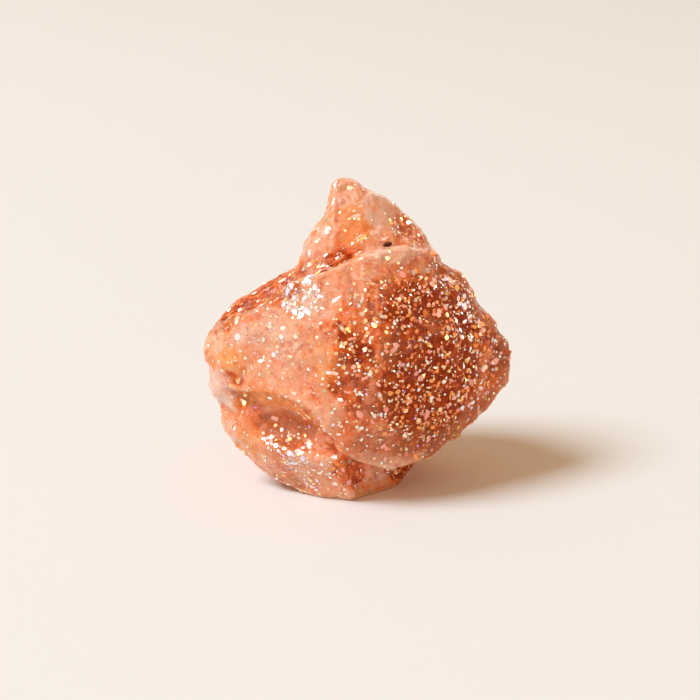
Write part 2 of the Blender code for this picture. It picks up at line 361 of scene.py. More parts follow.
CREASES: tuple[Crease, ...] = (
    # ridge between the slope and the pale face
    Crease(((-13.9, -2.6, 15.8), (-11.2, -5.2, 17.9), (-8.9, -6.4, 19.0), (-7.8, -6.8, 20.0)), 0.8, 0.16),
    Crease(((-6.2, -6.9, 21.5), (-4.3, -6.6, 22.2), (-2.2, -6.5, 22.9), (0.7, -5.7, 23.8)), 0.7, 0.10),
    # shelf under the peak
    Crease(((0.7, -5.7, 23.8), (2.6, -4.6, 24.2), (5.0, -3.0, 23.9), (7.1, -1.8, 22.8)), 0.8, 0.14),
    # ledge over the hollow, and the lip
    Crease(
        (
            (-14.4, -3.6, 13.4), (-13.2, -4.6, 11.8), (-12.4, -5.0, 11.0), (-10.7, -6.1, 11.1),
            (-8.8, -7.4, 11.4), (-5.8, -9.1, 11.2), (-3.7, -10.0, 10.1), (-2.6, -9.8, 8.0),
            (-1.2, -8.8, 5.6), (0.7, -8.9, 4.8), (3.1, -7.4, 3.7), (6.0, -5.6, 3.9),
        ),
        0.7, 0.28,
    ),
    Crease(RECESS, 1.6, -0.40),
    Crease(RECESS_END, 1.2, -0.15),
    # ridge under the hollow, and the edge down the foot
    Crease(((-9.2, -5.6, 5.6), (-6.3, -7.4, 5.0), (-3.8, -8.2, 4.4), (-1.9, -8.4, 4.9)), 0.7, 0.14),
    Crease(((-1.9, -8.4, 4.9), (-1.2, -7.9, 2.5), (-0.6, -7.2, 0.7)), 0.7, 0.32),
    # fold down the front with the crest beside it, and the ridge down the peak
    Crease(((0.9, -7.4, 21.2), (1.1, -8.6, 19.1), (1.2, -9.6, 17.0)), 0.35, -0.10),
    Crease(((1.7, -7.0, 21.4), (1.8, -8.6, 18.2), (1.9, -9.4, 15.4)), 0.6, 0.16),
    Crease(((-2.2, 0.2, 29.0), (-2.4, -1.6, 26.0), (-2.3, -2.4, 24.0)), 0.6, 0.12),
    # cracks in the cheek of the peak
    Crease(((0.2, 0.2, 28.6), (1.4, -0.4, 27.6), (2.2, -0.8, 26.8)), 0.3, -0.12),
    Crease(((1.2, 0.2, 28.2), (2.8, 0.2, 26.9)), 0.25, -0.08),
    # right rim
    Crease(RIM, 0.9, 0.10),
)


class Graph:
    """The nodes of a material or a world, added one by one and wired as they come."""

    def __init__(self, owner: bpy.types.Material | bpy.types.World, place: str = "Object") -> None:
        """Start on the nodes of a material or a world.

        Args:
            owner: the material or world.
            place: the name of the texture coordinates that its patterns read.
        """
        owner.use_nodes = True
        self.owner = owner
        self.tree = owner.node_tree
        self.place = self.add("TexCoord").outputs[place]

    def put(self, socket: Socket, value: object) -> None:
        """Feed an input: with a link if the value is a socket, and with the value itself if not.

        Args:
            socket: the input.
            value: what feeds it.
        """
        if isinstance(value, bpy.types.NodeSocket):
            self.tree.links.new(value, socket)
        else:
            socket.default_value = value

    def feed(self, node: bpy.types.Node, inputs: Inputs) -> bpy.types.Node:
        """Feed a node's inputs.

        Args:
            node: the node.
            inputs: the value or socket of each input, by its name or number.

        Returns:
            The node.
        """
        for name, value in inputs.items():
            self.put(node.inputs[name], value)
        return node

    def add(self, kind: str, inputs: Inputs | None = None, **settings: object) -> bpy.types.Node:
        """A new node.

        Args:
            kind: Blender's name of its kind, without its usual start.
            inputs: what feeds it.
            settings: its own settings.

        Returns:
            The node.
        """
        node = self.tree.nodes.new(f"ShaderNode{kind}")
        for name, value in settings.items():
            setattr(node, name, value)
        return self.feed(node, inputs or {})

    def shade(self, **inputs: object) -> None:
        """Feed the Principled shader's inputs, named with underscores for their spaces."""
        named = {name.replace("_", " "): value for name, value in inputs.items()}
        self.feed(self.tree.nodes["Principled BSDF"], named)

    def math(self, operation: str, a: object, b: object = 0.0, clamp: bool = False) -> Socket:
        """A sum, by Blender's name of it, on two numbers or sockets, kept from 0 to 1 if clamped."""
        return self.add("Math", {0: a, 1: b}, operation=operation, use_clamp=clamp).outputs[0]

    def times(self, a: object, b: object, clamp: bool = False) -> Socket:
        """The product of two numbers or sockets, kept from 0 to 1 if clamped."""
        return self.math("MULTIPLY", a, b, clamp)

    def vector_math(self, operation: str, a: object, b: object = (0.0, 0.0, 0.0)) -> Socket:
        """A sum, by Blender's name of it, on two vectors, or on a vector and the factor of SCALE."""
        second = "Scale" if operation == "SCALE" else 1
        return self.add("VectorMath", {0: a, second: b}, operation=operation).outputs[0]

    def share(self, name: str) -> Socket:
        """The value of one of the piece's own attributes."""
        return self.add("Attribute", attribute_name=name).outputs["Fac"]

    def noise(self, clouds: Clouds) -> Socket:
        """Cloudy noise as it comes, near 0.5 on average.

        Args:
            clouds: what it is like.

        Returns:
            The socket of its value.
        """
        turn = [math.radians(angle) for angle in clouds.turn]
        inputs = {"Vector": self.place, "Rotation": turn, "Scale": clouds.stretch}
        place = self.add("Mapping", inputs, vector_type="TEXTURE").outputs["Vector"]
        return self.add("TexNoise", {
            "Vector": place,
            "Scale": 1.0 / (clouds.size * MM),
            "Detail": clouds.layers,
            "Roughness": clouds.rough,
            "Distortion": clouds.bend,
        }).outputs[0]

    def clouds(self, clouds: Clouds) -> Socket:
        """Cloudy noise brought to full contrast, from 0 to 1."""
        return self.span(self.noise(clouds), clouds.low, clouds.high)

    def lines(self, marks: Marks) -> Socket:
        """Thin wandering lines, where noise is near its middle.

        Args:
            marks: what they are like.

        Returns:
            The socket of their height, 1 on a line and 0 beside it.
        """
        level = self.noise(Clouds(marks.apart, 2.0, rough=0.5, turn=marks.turn, stretch=marks.stretch))
        away = self.math("ABSOLUTE", self.math("SUBTRACT", level, MIDDLE))
        return self.math("SUBTRACT", 1.0, self.span(away, 0.0, marks.width))

    def cells(self, marks: Marks) -> bpy.types.NodeOutputs:
        """The outputs of cells as far apart as the marks."""
        return self.add("TexVoronoi", {"Vector": self.place, "Scale": 1.0 / (marks.apart * MM)}).outputs

    def channels(self, colour: Socket) -> bpy.types.NodeOutputs:
        """A colour's red, green and blue."""
        return self.add("SeparateColor", {0: colour}).outputs

    def ramp(self, factor: Socket, stops: dict[float, Colour]) -> Socket:
        """A colour looked up in a ramp.

        Args:
            factor: where to look.
            stops: the colour at each place from 0 to 1.

        Returns:
            The colour's socket.
        """
        node = self.add("ValToRGB", {0: factor})
        elements = node.color_ramp.elements
        while len(elements) < len(stops):
            elements.new(MIDDLE)
        for element, (place, colour) in zip(elements, sorted(stops.items())):
            element.position = place
            element.color = (*colour, 1.0)
        return node.outputs["Color"]

    def span(self, value: Socket, low: float, high: float) -> Socket:
        """The value rescaled, smoothly, so that low becomes 0 and high becomes 1."""
        inputs = {"Value": value, "From Min": low, "From Max": high}
        return self.add("MapRange", inputs, interpolation_type="SMOOTHSTEP").outputs["Result"]

    def sway(self, base: object, pattern: Socket, swing: object) -> Socket:
        """A number from 0 to 1 that a pattern moves up and down by half the swing each way."""
        offset = self.math("SUBTRACT", pattern, MIDDLE)
        return self.math("ADD", base, self.times(offset, swing), True)

    def blend(self, factor: object, a: object, b: object) -> Socket:
        """A colour between two: the first at a factor of 0, the second at 1."""
        a, b = ((*end, 1.0) if isinstance(end, tuple) else end for end in (a, b))
        return self.add("Mix", {0: factor, 6: a, 7: b}, data_type="RGBA").outputs[2]

    def bump(self, height: Socket, bumps: Bumps, under: Socket | None = None) -> Socket:
        """A normal bent by a height.

        Args:
            height: the height, from 0 to 1.
            bumps: how deep it is and how much of it shows.
            under: the normal that it is added to, or None for the surface's own.

        Returns:
            The normal's socket.
        """
        inputs = {"Height": height, "Distance": bumps.depth * MM, "Strength": bumps.strength}
        if under is not None:
            inputs["Normal"] = under
        return self.add("Bump", inputs).outputs["Normal"]


@dataclass(frozen=True)
class Feldspar:
    """The stone's own finish: clouded orange feldspar with a waxy to glassy break."""

    peach: Colour = (0.87, 0.33, 0.14)
    orange: Colour = (0.90, 0.19, 0.022)
    red_brown: Colour = (0.56, 0.085, 0.005)
    dark: Colour = (0.33, 0.034, 0.002)
    milk: Colour = (0.93, 0.55, 0.40)
    smoke: Colour = (0.42, 0.12, 0.035)
    glass: Colour = (0.80, 0.60, 0.54)
    frost: Colour = (0.95, 0.74, 0.68)
    honey: Colour = (0.97, 0.38, 0.07)
    dust: Colour = (0.62, 0.10, 0.015)
    sunk_dull: Colour = (0.86, 0.20, 0.05)
    sunk_bright: Colour = (0.98, 0.42, 0.20)
    orange_at: float = 0.35
    red_brown_at: float = 0.68
    clouds: Clouds = Clouds(1.9, layers=4.0, low=0.32, high=0.68, sway=0.36)
    mottle: Clouds = Clouds(0.45, sway=0.22)
    swirl: Clouds = Clouds(0.8, low=0.34, high=0.66, bend=2.2, sway=-0.26)
    streaks: Clouds = Clouds(0.3, 2.0, sway=0.75, turn=(0.0, -34.0, 4.0), stretch=(7.0, 1.0, 1.0))
    # painted shade: how much darker the colour goes in the fine gaps
    cavity_shade: float = 0.20
    milk_edge: float = 2.0
    swirl_milk: float = 0.28
    # painted highlight: how much paler the colour goes on the fine ridges
    crest_highlight: float = 0.22
    veil_share: float = 0.85
    veil_sway: float = 0.7
    frost_edge: float = 1.6
    frost_mottle: tuple[float, float] = (0.4, 1.2)
    hackle: Marks = Marks(0.7, 0.03, 0.45, turn=(0.0, -60.0, 10.0), stretch=(2.6, 1.0, 1.0))
    hackle_clouds: tuple[float, float] = (0.35, 0.85)
    vein: Marks = Marks(1.1, 0.02, 0.3)
    speck: Marks = Marks(0.36, 0.24, 0.55)
    speck_clouds: tuple[float, float] = (0.5, 0.9)
    stain: Marks = Marks(1.6, 0.26, 0.5)
    stain_core: float = 0.10
    flake: Marks = Marks(0.42, 0.46, 0.8)
    flakes_everywhere: float = 0.02
    flakes_with_iron: float = 0.30
    flake_metal: float = 0.6
    flake_lean: float = 0.9
    wax: Clouds = Clouds(0.55)
    grit: Clouds = Clouds(0.16, 2.0)
    wax_bumps: Bumps = Bumps(0.07, 0.7)
    grit_bumps: Bumps = Bumps(0.04, 0.8)
    hackle_bumps: Bumps = Bumps(0.05, 0.8)
    streak_bumps: Bumps = Bumps(0.05, 0.3)
    scatter_depth: float = 1.0
    scatter_colour: Colour = (1.0, 0.38, 0.16)
    scatter_share: float = 0.75
    roughness: float = 0.30
    roughness_sway: float = 0.12
    refraction: float = 1.54
    specular: float = 0.08
    coat_refraction: float = 1.75
    coat_edge: float = 1.4
    coat_roughness: float = 0.06
    sheen: float = 0.12

    def material(self) -> bpy.types.Material:
        """The finish as a material that reads the skin's make-up."""
        return FeldsparGraph(self).finished()


class FeldsparGraph:
    """The wiring of the feldspar: its shared patterns, and then the layers that read them."""

    def __init__(self, look: Feldspar) -> None:
        """Lay the patterns that more than one layer reads.

        Args:
            look: the finish.
        """
        self.look = look
        self.g = g = Graph(bpy.data.materials.new("orange_feldspar"))
        self.iron = g.share(Makeup.IRON_AND_SHADE)
        self.crest = g.share(Makeup.CREST)
        self.plain = g.math("SUBTRACT", 1.0, self.iron, True)
        self.clouds = g.clouds(look.clouds)
        self.mottle = g.clouds(look.mottle)
        self.swirl = g.clouds(look.swirl)
        self.streaks = g.clouds(look.streaks)
        self.hackle = g.times(g.lines(look.hackle), g.span(self.clouds, *look.hackle_clouds))
        self.flakes = g.cells(look.flake)
        self.draw = g.channels(self.flakes["Color"])
        amount = g.times(self.iron, look.flakes_with_iron)
        amount = g.math("ADD", look.flakes_everywhere, amount)
        near = g.math("LESS_THAN", self.flakes["Distance"], look.flake.width)
        self.flake = g.times(g.math("LESS_THAN", self.draw[0], amount), near)

    def finished(self) -> bpy.types.Material:
        """Wire the layers to the shader.

        Returns:
            The material.
        """
        g, look = self.g, self.look
        waxy, fine = self.normals()
        g.shade(
            Base_Color=self.marked(self.veiled(self.iron_and_shade_colour())),
            Metallic=g.times(self.flake, look.flake_metal),
            Roughness=g.sway(look.roughness, self.mottle, look.roughness_sway),
            Normal=fine,
            IOR=look.refraction,
            Specular_IOR_Level=look.specular,
            Subsurface_Weight=look.scatter_share,
            Subsurface_Radius=look.scatter_colour,
            Subsurface_Scale=look.scatter_depth * MM,
            Coat_Weight=g.math("POWER", self.plain, look.coat_edge),
            Coat_Normal=waxy,
            Coat_IOR=look.coat_refraction,
            Coat_Roughness=look.coat_roughness,
            Sheen_Weight=look.sheen,
            Sheen_Tint=(*look.frost, 1.0),
        )
        return g.owner

    def iron_and_shade_colour(self) -> Socket:
        """The colour that the iron gives, with painted shade in the gaps and a painted highlight on the
        ridges.

        Returns:
            The socket of a colour between peach and dark red-brown.
        """
        g, look = self.g, self.look
        depth = g.sway(self.iron, self.clouds, look.clouds.sway)
        depth = g.sway(depth, self.mottle, look.mottle.sway)
        depth = g.sway(depth, self.streaks, g.times(g.share(Makeup.GRAIN), look.streaks.sway))
        # painted shade and highlight: the ramp goes darker in cavities and paler on crests
        gap = g.math("SUBTRACT", g.share(Makeup.CAVITY), self.crest)
        depth = g.math("ADD", depth, g.times(gap, look.cavity_shade), True)
        depth = g.sway(depth, self.swirl, look.swirl.sway)
        middle = {look.orange_at: look.orange, look.red_brown_at: look.red_brown}
        return g.ramp(depth, {0.0: look.peach, **middle, 1.0: look.dark})

    def veiled(self, colour: Socket) -> Socket:
        """The colour under veils of honey, smoke, milk, glass and frost, with a painted highlight on the
        crests and a frost that is partly a painted highlight.

        Args:
            colour: the colour under them.

        Returns:
            The veiled colour's socket.
        """
        g, look = self.g, self.look
        # painted highlight: a paler milk colour on the crests, added to the swirl's milk
        light = g.times(self.crest, look.crest_highlight)
        light = g.math("ADD", g.times(self.swirl, look.swirl_milk), light)
        light = g.times(g.math("POWER", self.plain, look.milk_edge), light)
        milk_and_crest_highlight = g.math("ADD", g.share(Makeup.MILK), light)
        for share, pattern, veil in (
            (g.share(Makeup.HONEY_AND_GLOW), self.clouds, look.honey),
            (g.share(Makeup.SMOKE), self.mottle, look.smoke),
            (milk_and_crest_highlight, self.clouds, look.milk),
            (g.share(Makeup.GLASS), self.mottle, look.glass),
        ):
            cloudy = g.sway(look.veil_share, pattern, look.veil_sway)
            colour = g.blend(g.times(share, cloudy, True), colour, veil)
        # partly painted highlight: frost whitens the colour where clusters of highlight show
        frost_highlight = g.math("POWER", g.share(Makeup.FROST_AND_HIGHLIGHT), look.frost_edge)
        frost_highlight = g.times(frost_highlight, g.span(self.mottle, *look.frost_mottle))
        return g.blend(frost_highlight, colour, look.frost)

    def marked(self, colour: Socket) -> Socket:
        """The colour with pale hackle lines, dusty veins, specks and stains, and sunk flakes.

        Args:
            colour: the colour under them.

        Returns:
            The marked colour's socket.
        """
        g, look = self.g, self.look
        hackle = g.times(self.plain, look.hackle.share)
        colour = g.blend(g.times(self.hackle, hackle), colour, look.frost)
        speck = g.math("LESS_THAN", g.cells(look.speck)["Distance"], look.speck.width)
        speck = g.times(speck, g.span(self.clouds, *look.speck_clouds))
        stain = g.span(g.cells(look.stain)["Distance"], look.stain_core, look.stain.width)
        stain = g.math("SUBTRACT", 1.0, stain)
        for mark, kind in (g.lines(look.vein), look.vein), (speck, look.speck), (stain, look.stain):
            colour = g.blend(g.times(mark, kind.share), colour, look.dust)
        tint = g.blend(self.draw[1], look.sunk_dull, look.sunk_bright)
        return g.blend(g.times(self.flake, look.flake.share), colour, tint)

    def normals(self) -> tuple[Socket, Socket]:
        """Bend the surface's normal.

        Returns:
            The broad waxy normal, and the fine one on which each sunk flake leans its own way.
        """
        g, look = self.g, self.look
        waxy = g.bump(g.noise(look.wax), look.wax_bumps)
        fine = g.bump(g.noise(look.grit), look.grit_bumps, waxy)
        fine = g.bump(self.hackle, look.hackle_bumps, fine)
        fine = g.bump(self.streaks, look.streak_bumps, fine)
        lean = g.vector_math("SUBTRACT", self.flakes["Color"], (MIDDLE, MIDDLE, MIDDLE))
        turned = g.vector_math("ADD", fine, g.vector_math("SCALE", lean, look.flake_lean))
        inputs = {0: self.flake, 4: fine, 5: g.vector_math("NORMALIZE", turned)}
        return waxy, g.add("Mix", inputs, data_type="VECTOR").outputs[1]


@dataclass(frozen=True)
class PlateFinish:
    """One tint of platelet, and how many of it a square millimetre of skin has."""

    name: str
    colour: Colour
    other: Colour
    everywhere: float
    with_iron: float
    with_frost: float = 0.0
    radius: tuple[float, float] = (0.07, 0.22)
    roughness: float = 0.16
    metallic: float = 0.9
    fewer_in_glass: float = 0.9
    fewer_in_grain: float = 0.5
    fewer_on_shells: float = 0.8

    def density(self, makeup: dict[Makeup, np.ndarray]) -> np.ndarray:
        """The platelets a square millimetre at each point of the skin.

        Args:
            makeup: the skin's make-up at each point.

        Returns:
            One number a point.
        """
        iron, shell = makeup[Makeup.IRON_AND_SHADE], makeup[Makeup.SHELL]
        full = self.everywhere + self.with_iron * iron
        full *= 1.0 - self.fewer_in_glass * makeup[Makeup.GLASS]
        full *= 1.0 - self.fewer_in_grain * makeup[Makeup.GRAIN]
        full *= 1.0 - self.fewer_on_shells * shell * (1.0 - iron)
        return full + self.with_frost * makeup[Makeup.FROST_AND_HIGHLIGHT]

    def material(self) -> bpy.types.Material:
        """The tint as a metallic material whose tone differs from platelet to platelet.

        Returns:
            The material.
        """
        g = Graph(bpy.data.materials.new(f"platelet_{self.name}"))
        g.shade(
            Base_Color=g.blend(g.share("tone"), self.colour, self.other),
            Metallic=self.metallic,
            Roughness=self.roughness,
        )
        return g.owner


PLATE_FINISHES: tuple[PlateFinish, ...] = (
    PlateFinish("frost", (0.96, 0.91, 0.94), (0.86, 0.81, 1.0), 0.0, 0.0, 2.8, (0.10, 0.46), 0.42),
    PlateFinish("white", (1.0, 0.98, 0.94), (0.95, 0.93, 1.0), 0.16, 0.50, 1.4, (0.08, 0.38)),
    PlateFinish("pale_gold", (1.0, 0.90, 0.66), (1.0, 0.95, 0.84), 0.70, 0.70, 1.2, (0.07, 0.30)),
    PlateFinish("gold", (1.0, 0.66, 0.28), (1.0, 0.80, 0.45), 0.22, 0.80, 0.0, (0.08, 0.34)),
    PlateFinish("copper", (0.95, 0.28, 0.07), (1.0, 0.42, 0.14), 0.04, 0.70, 0.0, (0.14, 0.44), 0.3),
    PlateFinish("rose", (0.97, 0.34, 0.24), (1.0, 0.55, 0.46), 0.04, 0.55, 0.2, (0.16, 0.48), 0.3),
    PlateFinish("opal", (0.45, 0.55, 1.0), (0.95, 0.40, 0.95), 0.02, 0.09, 0.5, (0.08, 0.22)),
)


@dataclass(frozen=True)
class DarkFinish:
    """Near-black red crystal with a dull shine."""

    colour: Colour = (0.06, 0.010, 0.004)
    bloom: Colour = (0.16, 0.03, 0.010)
    clouds: Clouds = Clouds(0.3, layers=2.0, low=0.4, rough=0.5)
    roughness: float = 0.4
    specular: float = 0.2

    def material(self) -> bpy.types.Material:
        """The finish as a material with a redder bloom in it.

        Returns:
            The material.
        """
        g = Graph(bpy.data.materials.new("dark_crystal"))
        g.shade(
            Base_Color=g.blend(g.clouds(self.clouds), self.colour, self.bloom),
            Roughness=self.roughness,
            Specular_IOR_Level=self.specular,
        )
        return g.owner


def drawn(points: np.ndarray, sample: Callable[[Vector], float]) -> np.ndarray:
    """A field read at each point: one number a row."""
    return np.array([sample(Vector(point)) for point in points])


def attached(name: str, data: bpy.types.ID) -> bpy.types.Object:
    """A new object of the scene.

    Args:
        name: its name.
        data: its mesh, light or camera.

    Returns:
        The object.
    """
    piece = bpy.data.objects.new(name, data)
    bpy.context.scene.collection.objects.link(piece)
    return piece


@dataclass
class Skin:
    """The stone's outer surface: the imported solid's form, with the fine detail of its break."""

    name: str = "sunstone_skin"
    cell: float = 0.178
    facet_rounds: int = 5
    crisp_rounds: int = 20
    crispness: float = 1.25
    chips: tuple[Relief, ...] = (Relief(3.0, 0.34), Relief(1.3, 0.12))
    chip_bend: float = 0.35
    chip_bends: float = 1.7
    chip_lean: float = 0.8
    chip_step: float = 0.3
    chip_draw: float = 17.0
    shell_evenness: float = 0.75
    grain_way: Point = (0.82, 0.06, 0.56)
    grain_size: float = 0.5
    grain_height: float = 0.18
    grain_length: float = 6.0
    crest_rounds: int = 6
    crest_full: float = 0.035
    sole_margin: float = 0.6
    warps: tuple[Relief, ...] = (Relief(2.8, 0.7), Relief(0.9, 0.22))
    reliefs: tuple[Relief, ...] = (Relief(2.4, 0.14), Relief(0.9, 0.05), Relief(0.45, 0.02))
    relief_fade: float = 1.0
    relief_gap: float = 2.0
    relief_layers: int = 2
    finish: Feldspar = field(default_factory=Feldspar)
    makeup: dict[Makeup, np.ndarray] = field(default_factory=dict)

    def build(self, solid: bpy.types.Object) -> bpy.types.Object:
        """Make the skin and dress it.

        Args:
            solid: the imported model's node.

        Returns:
            The finished piece.
        """
        noise.seed_set(SEED)
        self.piece = self.fine_copy(solid)
        mesh = self.piece.data
        self.links = np.zeros(len(mesh.edges) * 2, np.int64)
        mesh.edges.foreach_get("vertices", self.links)
        self.links = self.links.reshape(-1, 2)
        self.sharpen()
        self.read_zones()
        self.shape_break()
        self.read_crests()
        for part, share in self.makeup.items():
            values = mesh.attributes.new(part, "FLOAT", "POINT")
            values.data.foreach_set("value", share.astype(np.float32))
        mesh.shade_smooth()
        mesh.materials.append(self.finish.material())
        LOG.info("%s: %d faces", self.name, len(mesh.polygons))
        return self.piece

    def fine_copy(self, solid: bpy.types.Object) -> bpy.types.Object:
        """A welded copy of the solid, remade on a fine even grid.

        Args:
            solid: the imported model's node.

        Returns:
            The copy.
        """
        bm = bmesh.new()
        bm.from_mesh(solid.data)
        bmesh.ops.remove_doubles(bm, verts=bm.verts, dist=WELD * MM)
        coarse = bpy.data.meshes.new(self.name)
        bm.to_mesh(coarse)
        bm.free()
        piece = attached(self.name, coarse)
        remesh = piece.modifiers.new("fine grid", "REMESH")
        remesh.mode = "VOXEL"
        remesh.voxel_size = self.cell * MM
        graph = bpy.context.evaluated_depsgraph_get()
        piece.data = bpy.data.meshes.new_from_object(piece.evaluated_get(graph))
        piece.modifiers.clear()
        piece.data.name = self.name
        bpy.data.meshes.remove(coarse)
        return piece

    def points(self) -> np.ndarray:
        """Read where the skin's points are.

        Returns:
            The points, one a row.
        """
        flat = np.zeros(len(self.piece.data.vertices) * 3)
        self.piece.data.vertices.foreach_get("co", flat)
        return flat.reshape(-1, 3) / MM

    def normals(self) -> np.ndarray:
        """Read which way the skin faces.

        Returns:
            The outward direction at each point, one a row.
        """
        flat = np.zeros(len(self.piece.data.vertices) * 3)
        self.piece.data.vertex_normals.foreach_get("vector", flat)
        return flat.reshape(-1, 3)

    def move_to(self, points: np.ndarray) -> None:
        """Put the skin's points where the rows say."""
        self.piece.data.vertices.foreach_set("co", (points * MM).ravel())
        self.piece.data.update()

    def averaged(self, values: np.ndarray, rounds: int) -> np.ndarray:
        """Values evened out over each point's neighbours.

        Args:
            values: one row a point.
            rounds: how many times.

        Returns:
            The evened values.
        """
        first, second = self.links.T
        count = len(values)
        degree = np.bincount(first, minlength=count) + np.bincount(second, minlength=count)
        for _ in range(rounds):
            sums = np.empty_like(values)
            for axis in range(values.shape[1]):
                column = values[:, axis]
                sums[:, axis] = np.bincount(first, column[second], count)
                sums[:, axis] += np.bincount(second, column[first], count)
            values = (values + sums / degree[:, None]) / 2.0
        return values

    def above_sole(self, points: np.ndarray) -> np.ndarray:
        """How free each point is to move: 0 on the flat spot, 1 a little above it."""
        return np.clip(points[:, 2] / self.sole_margin, 0.0, 1.0)

    def sharpen(self) -> None:
        """Smooth the solid's small facets away, then bring its ridges and hollows out again."""
        points = self.points()
        free = self.above_sole(points)[:, None]
        smooth = self.averaged(points, self.facet_rounds)
        broad = self.averaged(smooth, self.crisp_rounds)
        crisp = smooth + self.crispness * (smooth - broad)
        self.move_to(points + free * (crisp - points))

    def read_zones(self) -> None:
        """Work out the make-up at each point, with zones of uneven outline."""
        points = self.points()
        moved = points.copy()
        for warp in self.warps:
            moved += warp.height * np.array([noise.noise_vector(Vector(row)) for row in points / warp.size])
        for part, zones in ZONES.items():
            total = sum(zone.share(moved) for zone in zones)
            self.makeup[part] = np.clip(total, 0.0, 1.0)

    def chip(self, place: Vector) -> float:
        """The height of the hollows that small blows leave, each with its own lean and size.

        Args:
            place: the point, in units of a usual hollow.

        Returns:
            The height, which folds sharply where two hollows meet.
        """
        bent = place + self.chip_bend * noise.noise_vector(place * self.chip_bends)
        distances, middles = noise.voronoi(bent)
        heights = []
        for distance, middle in zip(distances, middles):
            draw = noise.cell_vector(middle * self.chip_draw)
            lean = (bent - middle).dot(draw - Vector((MIDDLE, MIDDLE, MIDDLE)))
            bowl = distance**2 * (MIDDLE + draw.x)
            heights.append(bowl + self.chip_step * draw.y + self.chip_lean * lean)
        return min(heights) - self.chip_step

    def roughening(self, place: Vector) -> float:
        """The height of layered noise at a point, in units of its widest forms."""
        return noise.fractal(place, self.relief_fade, self.relief_gap, self.relief_layers)

    def streak(self, place: Vector) -> float:
        """The height of streaks that rise to sharp ridges, at a point in units of their width."""
        return 1.0 - 2.0 * abs(noise.noise(place))

    def shape_break(self) -> None:
        """Move the points outwards or inwards by all the scales of the break."""
        points = self.points()
        out = self.normals()
        way = np.array(self.grain_way) / np.linalg.norm(self.grain_way)
        lift = np.zeros(len(points))
        for relief in self.chips:
            lift += relief.height * drawn(points / relief.size, self.chip)
        for relief in self.reliefs:
            lift += relief.height * drawn(points / relief.size, self.roughening)
        lift *= 1.0 - self.shell_evenness * self.makeup[Makeup.SHELL]
        drawn_out = points - np.outer(points @ way, way) * (1.0 - 1.0 / self.grain_length)
        grain = drawn(drawn_out / self.grain_size, self.streak)
        lift += self.grain_height * self.makeup[Makeup.GRAIN] * (grain - MIDDLE)
        for crease in CREASES:
            lift += crease.lift(points)
        moved = points + out * (lift * self.above_sole(points))[:, None]
        moved[:, 2] = np.maximum(moved[:, 2], 0.0)
        self.move_to(moved)

    def read_crests(self) -> None:
        """Find the fine ridges and gaps: the colour is painted paler on the ridges, a painted highlight,
        and darker in the gaps, painted shade.
        """
        points = self.points()
        inwards = self.averaged(points, self.crest_rounds) - points
        height = -np.sum(inwards * self.normals(), axis=1) / self.crest_full
        self.makeup[Makeup.CREST] = np.clip(height, 0.0, 1.0)
        self.makeup[Makeup.CAVITY] = np.clip(-height, 0.0, 1.0)


